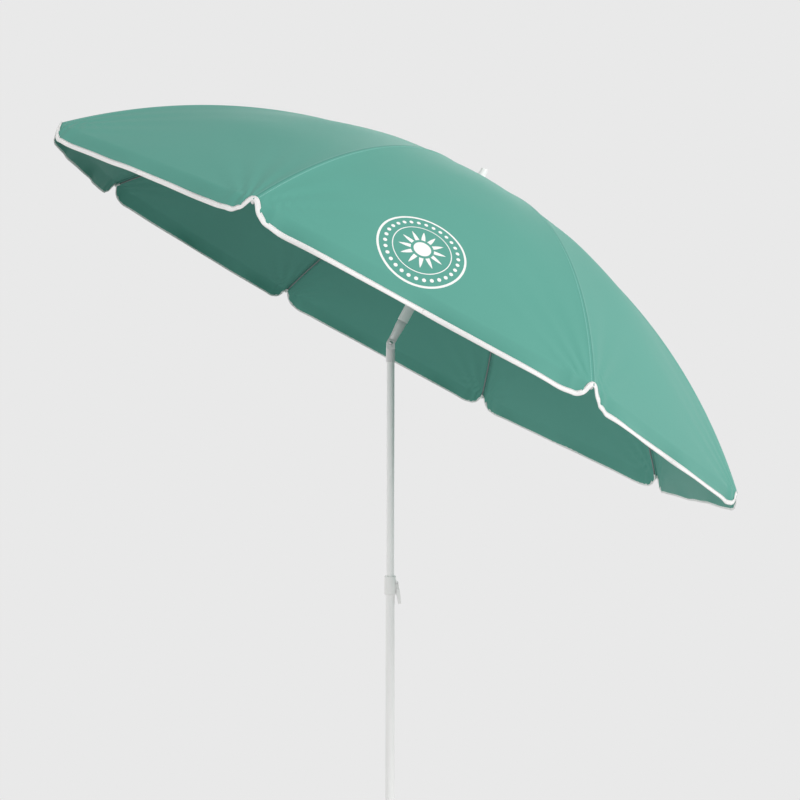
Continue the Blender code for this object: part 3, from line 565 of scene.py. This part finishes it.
def clothNormal(k, v, row):
    # square to the whole panel's surface, so that neighbours shade as one cloth at the middle of a panel
    dv, dr = 1e-3, 2e-3
    low, high = max(-1.0, v - dv), min(1.0, v + dv)
    if row > 1:
        near, far = max(1.0, row - 0.05), min(2.0, row + 0.05)
    else:
        near, far = max(0.0, row - dr), min(1.0, row + dr)
    along = surfaceAt(k, v, far) - surfaceAt(k, v, near)
    across = surfaceAt(k, high, row) - surfaceAt(k, low, row)
    normal = along.cross(across).normalized()
    if abs(v) > 0.999:
        # at the middle of a panel the normal has no part along the way round
        tangent = Vector((-math.copysign(math.sin(halfSector), v), math.cos(halfSector), 0))
        normal = (normal - tangent * normal.dot(tangent)).normalized()
    return normal


def buildSheet(k):
    rows, columns = clothRows(), clothColumns()
    place = sectorPlace(k)
    turn = place.to_3x3()
    deselectAll()
    lastRow, lastColumn = len(rows) - 1, len(columns) - 1
    bpy.ops.mesh.primitive_grid_add(x_subdivisions=lastRow, y_subdivisions=lastColumn, size=1)
    sheet = bpy.context.object
    sheet.name = f"canopySheet_{k + 1}"
    sheet.data.name = sheet.name
    mesh = sheet.data
    keys = [(round((v.co.x + 0.5) * lastRow), round((v.co.y + 0.5) * lastColumn)) for v in mesh.vertices]
    normals = []
    panelMap = mesh.uv_layers[0]
    panelMap.name = "panel"
    edgeMap = mesh.uv_layers.new(name="edges")
    places = []  # across from the rib, half the panel's width, down from the axis, up from the hem
    for vert, (i, j) in zip(mesh.vertices, keys):
        point, s, panel, t = clothPoint(k, columns[j], rows[i])
        point.z += ridge(point, s)
        normals.append(turn @ clothNormal(k, columns[j], rows[i]))
        halfWidth = point.x * math.tan(halfSector)
        fromHem = max(0.0, 2 - rows[i]) * canopy["valance"]
        places.append((abs(point.y), halfWidth, s, fromHem))
        vert.co = place @ point
    for face in mesh.polygons:
        middle = sum(keys[v][1] for v in face.vertices) / len(face.vertices)
        side = 1 if middle > lastColumn / 2 else -1
        for loop in face.loop_indices:
            y, halfWidth, s, fromHem = places[mesh.loops[loop].vertex_index]
            # the print is only on the panel that both printed sectors share
            aside = printed["outOfTheWay"] if (k + 1, side) in ((6, -1), (7, 1)) else 0.0
            panelMap.data[loop].uv = (side * (y - halfWidth) + aside, s)
            edgeMap.data[loop].uv = (y, fromHem)
    if mesh.polygons[0].normal.dot(mastAxis) < 0:
        mesh.flip_normals()
    if normals[0].dot(mastAxis) < 0:
        normals = [-n for n in normals]
    count = len(mesh.vertices)
    shell = sheet.modifiers.new("thickness", "SOLIDIFY")
    shell.thickness = canopy["thickness"]
    shell.offset = 0
    applyAll(sheet)
    mesh = sheet.data
    mesh.shade_smooth()
    both = normals + [-n for n in normals]
    if (mesh.vertices[0].co - mesh.vertices[count].co).dot(normals[0]) < 0:
        both = [-n for n in both]
    mesh.normals_split_custom_set_from_vertices([tuple(n) for n in both])
    panelMap = mesh.uv_layers["panel"]
    for face in mesh.polygons:
        if face.normal.dot(mastAxis) < 0:
            # the print doesn't come through to the underside
            for loop in face.loop_indices:
                panelMap.data[loop].uv.x += printed["outOfTheWay"]
    mesh.materials.clear()
    mesh.materials.append(clothSun if k + 1 in (6, 7) else clothPlain)
    return sheet


tape = {
    "reach": 0.0090,  # up the outside of the hem
    "reachInside": 0.0030,
    "wrap": 0.0012,
    "halfThickness": 0.0011,
    "halfSamples": 300,
    "normalRow": 1.96,  # just short of the valance's edge
    "step": 0.0032,
    "evening": 3,
}


def evenPath(points, normals, step):
    # points at even steps along a dense line, with the normals that go with them
    lengths = [0.0]
    for a, b in zip(points, points[1:]):
        lengths.append(lengths[-1] + (b - a).length)
    count = round(lengths[-1] / step)
    path, square, j = [], [], 0
    for i in range(count + 1):
        want = lengths[-1] * i / count
        while j < len(lengths) - 2 and lengths[j + 1] < want:
            j += 1
        t = (want - lengths[j]) / max(1e-9, lengths[j + 1] - lengths[j])
        path.append(points[j].lerp(points[j + 1], t))
        square.append(normals[j].lerp(normals[j + 1], t).normalized())
    return path, square, lengths[-1]


def evened(vectors, times):
    # each vector drawn towards its neighbours, the two ends left alone
    for _ in range(times):
        inner = [(a + 2 * b + c) / 4 for a, b, c in zip(vectors, vectors[1:], vectors[2:])]
        vectors = [vectors[0]] + inner + [vectors[-1]]
    return vectors


def buildTape(k):
    # a folded tape over the valance's edge, from one panel's middle to the next
    place = sectorPlace(k)
    half = tape["halfSamples"]
    dense = [math.copysign(abs(v) ** 1.6, v) for v in (-1 + i / half for i in range(2 * half + 1))]
    normals = [clothNormal(k, v, tape["normalRow"]) for v in dense]
    normals = [n if n.x > 0 else -n for n in normals]
    edge, normals, total = evenPath([surfaceAt(k, v, 2.0) for v in dense], normals, tape["step"])
    edge = evened(edge, tape["evening"])
    normals = evened(normals, 2 * tape["evening"])
    count = len(edge) - 1
    inward = []
    for i in range(count + 1):
        tangent = (edge[min(count, i + 1)] - edge[max(0, i - 1)]).normalized()
        way = tangent.cross(normals[i]).normalized()
        if i in (0, count):
            # the ends lie in the plane of the panel's middle
            side = -1 if i == 0 else 1
            across = Vector((-side * math.sin(halfSector), math.cos(halfSector), 0))
            way = (way - across * way.dot(across)).normalized()
        inward.append(way)
    if inward[0].z < 0:
        inward = [-way for way in inward]
    inward = [way.normalized() for way in evened(inward, tape["evening"])]
    half = tape["halfThickness"]
    reach, inside, wrap = tape["reach"], tape["reachInside"], tape["wrap"]
    outline = [(reach, 0.5 * half), (reach * 0.6, half), (0.0, half), (-wrap * 0.8, half * 0.6), (-wrap, 0.0),
               (-wrap * 0.8, -half * 0.6), (0.0, -half), (inside * 0.6, -half), (inside, -0.5 * half)]
    shape = bmesh.new()
    uv = shape.loops.layers.uv.new("tape")
    rings = []
    for point, way, normal in zip(edge, inward, normals):
        rings.append([shape.verts.new(place @ (point + way * a + normal * b)) for a, b in outline])
    width = len(outline)
    for i in range(count):
        for j in range(width):
            after = (j + 1) % width
            face = shape.faces.new((rings[i][j], rings[i][after], rings[i + 1][after], rings[i + 1][j]))
            face.smooth = True
            for loop, (a, b) in zip(face.loops, ((i, j), (i, after), (i + 1, after), (i + 1, j))):
                loop[uv].uv = (total * a / count, max(0.0, outline[b][0]))
    shape.faces.new(rings[0][::-1])
    shape.faces.new(rings[-1])
    bmesh.ops.recalc_face_normals(shape, faces=shape.faces)
    mesh = bpy.data.meshes.new(f"hemTape_{k + 1}")
    shape.to_mesh(mesh)
    shape.free()
    piece = bpy.data.objects.new(mesh.name, mesh)
    bpy.context.scene.collection.objects.link(piece)
    mesh.materials.append(tapeFinish)
    return piece


patch = {
    # (radius, height over the crown's cloth) from the ferrule's hole to the rim
    "rings": [(0.0068, 0.0), (0.0130, 0.0), (0.0190, 0.0007), (0.0235, 0.0013), (0.0270, 0.0014),
              (0.0295, 0.0013), (0.0310, 0.0009)],
    "thickness": 0.0007,
    "corners": 96,
}


def buildPatch():
    # the round patch that the ferrule clamps on the crown: it stays there when the ribs come down
    deselectAll()
    (hole, start), *others = patch["rings"]
    bpy.ops.mesh.primitive_circle_add(vertices=patch["corners"], radius=hole, fill_type="NOTHING")
    piece = bpy.context.object
    piece.name = "crownPatch"
    piece.data.name = piece.name
    bpy.ops.object.mode_set(mode="EDIT")
    bpy.ops.mesh.select_mode(type="EDGE")
    bpy.ops.mesh.select_all(action="SELECT")
    radius, level = hole, start
    for wider, up in others:
        bpy.ops.mesh.extrude_edges_move(TRANSFORM_OT_translate={"value": (0, 0, up - level)})
        bpy.ops.transform.resize(value=(wider / radius, wider / radius, 1), center_override=(0, 0, 0))
        radius, level = wider, up
    bpy.ops.mesh.select_all(action="SELECT")
    bpy.ops.mesh.normals_make_consistent(inside=False)
    bpy.ops.object.mode_set(mode="OBJECT")
    mesh = piece.data
    if mesh.polygons[0].normal.z < 0:
        mesh.flip_normals()
    maps = [mesh.uv_layers.new(name=name) for name in ("panel", "edges")]
    for face in mesh.polygons:
        around = [math.atan2(mesh.vertices[v].co.y, mesh.vertices[v].co.x) for v in face.vertices]
        if max(around) - min(around) > math.pi:
            around = [a + 2 * math.pi if a < 0 else a for a in around]
        for loop, vert, angle in zip(face.loop_indices, face.vertices, around):
            out = mesh.vertices[vert].co.to_2d().length
            maps[0].data[loop].uv = (out, angle * radius)
            maps[1].data[loop].uv = (radius - out, 1.0)
    wall = piece.modifiers.new("thickness", "SOLIDIFY")
    wall.thickness = patch["thickness"]
    wall.offset = 0
    mesh.transform(crownPlace @ Matrix.Translation((0, 0, canopy["crownLift"])))
    applyAll(piece)
    smooth(piece, 60)
    piece.data.materials.append(clothPlain)
    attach(piece, "mast")


def sheetSize():
    # width and length of the cut cloth of one sector, and its area
    rows = clothRows()
    total = 0.0
    for near, far in zip(rows, rows[1:]):
        a, b = clothPoint(0, 1.0, near)[0], clothPoint(0, 1.0, far)[0]
        total += (surfaceAt(0, 0.5, far) - surfaceAt(0, 0.5, near)).length * 2 * (a.y + b.y) / 2
    width = 2 * clothPoint(0, 1.0, 1.0)[0].y
    return width, crownRadius + ribLength + canopy["valance"], total


def foldWith(piece, k):
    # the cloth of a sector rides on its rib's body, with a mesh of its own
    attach(piece, f"rib_{k + 1}")
    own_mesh(piece)


def buildCanopy():
    width, length, area = sheetSize()
    for k in range(ribCount):
        sheet, binding = buildSheet(k), buildTape(k)
        foldWith(sheet, k)
        foldWith(binding, k)
        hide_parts(f"canopy_sector_{k + 1}")
    buildPatch()
    print("canopy built: cut width", round(width, 3), "length", round(length, 3), "area", round(area, 4))


buildCanopy()


# how each hard piece is finished: its material, the width of its rounded edges, the angle still smoothed
hardware = {
    "lower_pole": (polePaint, 0.0003, 40),
    "upper_pole": (polePaint, 0.0003, 40),
    "mast_tube": (polePaint, 0.0003, 40),
    "ground_spike": (whitePlastic, 0.0012, 40),
    "clamp_collar": (whitePlastic, 0.0006, 35),
    "clamp_lever": (whitePlastic, 0.0008, 35),
    "clamp_pin": (brightSteel, 0.0003, 35),
    "pole_bush": (greyPlastic, 0.0003, 35),
    "tilt_fork": (jointMetal, 0.0005, 35),
    "tilt_head": (jointMetal, 0.0005, 35),
    "tilt_pin": (brightSteel, 0.0003, 35),
    "button_spring": (brightSteel, 0, 60),
    "tilt_button": (whitePlastic, 0.0006, 35),
    "crown": (whitePlastic, 0.0003, 35),
    "crown_ring": (brightSteel, 0, 60),
    "ferrule": (whitePlastic, 0.0012, 40),
    "runner": (whitePlastic, 0.0004, 35),
    "runner_catch": (brightSteel, 0.0004, 35),
}
for k in range(1, ribCount + 1):
    hardware[f"rib_{k}"] = (ribSteel, 0, 60)
    hardware[f"rib_tip_{k}"] = (whitePlastic, 0.0005, 40)
    hardware[f"rib_bracket_{k}"] = (brightSteel, 0.0004, 35)
    hardware[f"stretcher_{k}"] = (ribSteel, 0, 50)
bodyOf = {node: body for body, members in frame["record"]["behaviour"]["bodies"].items() for node in members}


squareOn = 0.975  # how nearly a face must look away from the axis to count as wall
upright = (Vector((0, 0, 0)), Vector((0, 0, 1)))
tubeAxes = {"lower_pole": upright, "upper_pole": upright, "mast_tube": (crownCentre, mastAxis)}


def shadeRound(piece, centre, axis):
    # a tube's wall shades as a true cylinder, whatever is cut through it
    mesh = piece.data
    normals = [corner.vector.copy() for corner in mesh.corner_normals]
    for face in mesh.polygons:
        for loop in face.loop_indices:
            away = mesh.vertices[mesh.loops[loop].vertex_index].co - centre
            away = (away - axis * away.dot(axis)).normalized()
            facing = face.normal.dot(away)
            if abs(facing) > squareOn:
                normals[loop] = away * math.copysign(1, facing)
    mesh.normals_split_custom_set([tuple(normal) for normal in normals])


def finishNode(name):
    # a rounded copy of the plain solid: joined, cleaned to its real faces, edges broken, then smoothed
    finish, width, degrees = hardware[name]
    piece = frame["nodes"][name].copy()
    piece.data = frame["nodes"][name].data.copy()
    piece.name = f"{name}_finished"
    piece.data.name = piece.name
    bpy.context.scene.collection.objects.link(piece)
    piece.parent = None
    makeActive(piece)
    bpy.ops.object.mode_set(mode="EDIT")
    bpy.ops.mesh.select_all(action="SELECT")
    bpy.ops.mesh.remove_doubles(threshold=4e-6)
    if width:
        bpy.ops.mesh.dissolve_limited(angle_limit=math.radians(1.0))
    bpy.ops.mesh.normals_make_consistent(inside=False)
    bpy.ops.object.mode_set(mode="OBJECT")
    if width:
        bevelEdges(piece, width, segments=2, degrees=32)
    applyAll(piece)
    smooth(piece, degrees)
    if name in tubeAxes:
        shadeRound(piece, *tubeAxes[name])
    piece.data.materials.clear()
    piece.data.materials.append(finish)
    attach(piece, bodyOf[name])
    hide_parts(name)
    return piece


def compressSpring(piece):
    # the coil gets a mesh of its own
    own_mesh(piece)


for name in hardware:
    finished = finishNode(name)
    if name == "button_spring":
        compressSpring(finished)
print("hard pieces finished")


studio = {
    "floorRadius": 1.12,
    "paper": (0.80, 0.80, 0.80),
    "focal": 56.5,
    "azimuth": -7.38,
    "elevation": -1.13,
    "distance": 3.098,
    "aim": (0.251, 0.0, -0.106),  # from the tilt pin
    "shift": (-0.1156, -0.0165),
    "backdrop": (0.815, 0.815, 0.815),
    # from straight down to straight up
    "surround": [(0.0, 0.32), (0.36, 0.46), (0.47, 1.35), (0.58, 1.35), (0.74, 0.40), (1.0, 0.40)],
    "lampsAim": (0, 0, 1.7),
    "lamps": {
        "keyLamp": ((3.4, -2.4, 4.0), 2.4, 120),
        "fillLamp": ((-3.2, -2.8, 4.2), 3.0, 34),
        "rimLamp": ((0.5, 3.8, 3.6), 2.5, 40),
    },
}


def buildFloor():
    deselectAll()
    bpy.ops.mesh.primitive_circle_add(vertices=96, radius=studio["floorRadius"], fill_type="NGON",
                                      location=(0, 0, -0.0005))
    floor = bpy.context.object
    floor.name = "floor"
    paper = Finish("paper", 0.9, specular=0.2)
    grain = paper.noise(paper.objectPoint(), 60.0)
    shade = tuple(c * 0.985 for c in studio["paper"])
    paper.feed("Base Color", paper.mixColor(grain, studio["paper"], shade))
    floor.data.materials.append(paper.material)


def addLamp(name, place, aim, size, power):
    lamp = bpy.data.lights.new(name, "AREA")
    lamp.shape = "DISK"
    lamp.size = size
    lamp.energy = power
    made = bpy.data.objects.new(name, lamp)
    bpy.context.scene.collection.objects.link(made)
    made.location = place
    made.rotation_euler = (Vector(aim) - Vector(place)).to_track_quat("-Z", "Y").to_euler()


def buildStudio():
    world = bpy.data.worlds.new("studio")
    bpy.context.scene.world = world
    world.use_nodes = True
    nodes, links = world.node_tree.nodes, world.node_tree.links
    light = nodes["Background"]
    way, split = nodes.new("ShaderNodeTexCoord"), nodes.new("ShaderNodeSeparateXYZ")
    height, ramp = nodes.new("ShaderNodeMapRange"), nodes.new("ShaderNodeValToRGB")
    height.inputs["From Min"].default_value = -1.0
    links.new(way.outputs["Generated"], split.inputs[0])
    links.new(split.outputs["Z"], height.inputs[0])
    links.new(height.outputs[0], ramp.inputs[0])
    links.new(ramp.outputs[0], light.inputs[0])
    stops = studio["surround"]
    ramp.color_ramp.elements[0].position, ramp.color_ramp.elements[1].position = stops[0][0], stops[-1][0]
    ramp.color_ramp.elements[0].color = (*[stops[0][1]] * 3, 1)
    ramp.color_ramp.elements[1].color = (*[stops[-1][1]] * 3, 1)
    for place, level in stops[1:-1]:
        ramp.color_ramp.elements.new(place).color = (*[level] * 3, 1)
    backdrop = nodes.new("ShaderNodeBackground")
    backdrop.inputs[0].default_value = (*studio["backdrop"], 1)
    seen, mix = nodes.new("ShaderNodeLightPath"), nodes.new("ShaderNodeMixShader")
    links.new(seen.outputs["Is Camera Ray"], mix.inputs[0])
    links.new(light.outputs[0], mix.inputs[1])
    links.new(backdrop.outputs[0], mix.inputs[2])
    links.new(mix.outputs[0], nodes["World Output"].inputs[0])
    for name, (place, size, power) in studio["lamps"].items():
        addLamp(name, place, studio["lampsAim"], size, power)
    bpy.context.scene.view_settings.view_transform = "Standard"


def buildCamera():
    azimuth, elevation = math.radians(studio["azimuth"]), math.radians(studio["elevation"])
    aim = tiltPin + Vector(studio["aim"])
    away = Vector((math.sin(azimuth) * math.cos(elevation), -math.cos(azimuth) * math.cos(elevation),
                   math.sin(elevation)))
    lens = bpy.data.cameras.new("camera")
    lens.lens = studio["focal"]
    lens.sensor_width = 36
    lens.shift_x, lens.shift_y = studio["shift"]
    camera = bpy.data.objects.new("camera", lens)
    bpy.context.scene.collection.objects.link(camera)
    camera.location = aim + away * studio["distance"]
    camera.rotation_euler = (-away).to_track_quat("-Z", "Y").to_euler()
    bpy.context.scene.camera = camera


buildFloor()
buildStudio()
buildCamera()
print("studio ready")

bpy.context.view_layer.update()
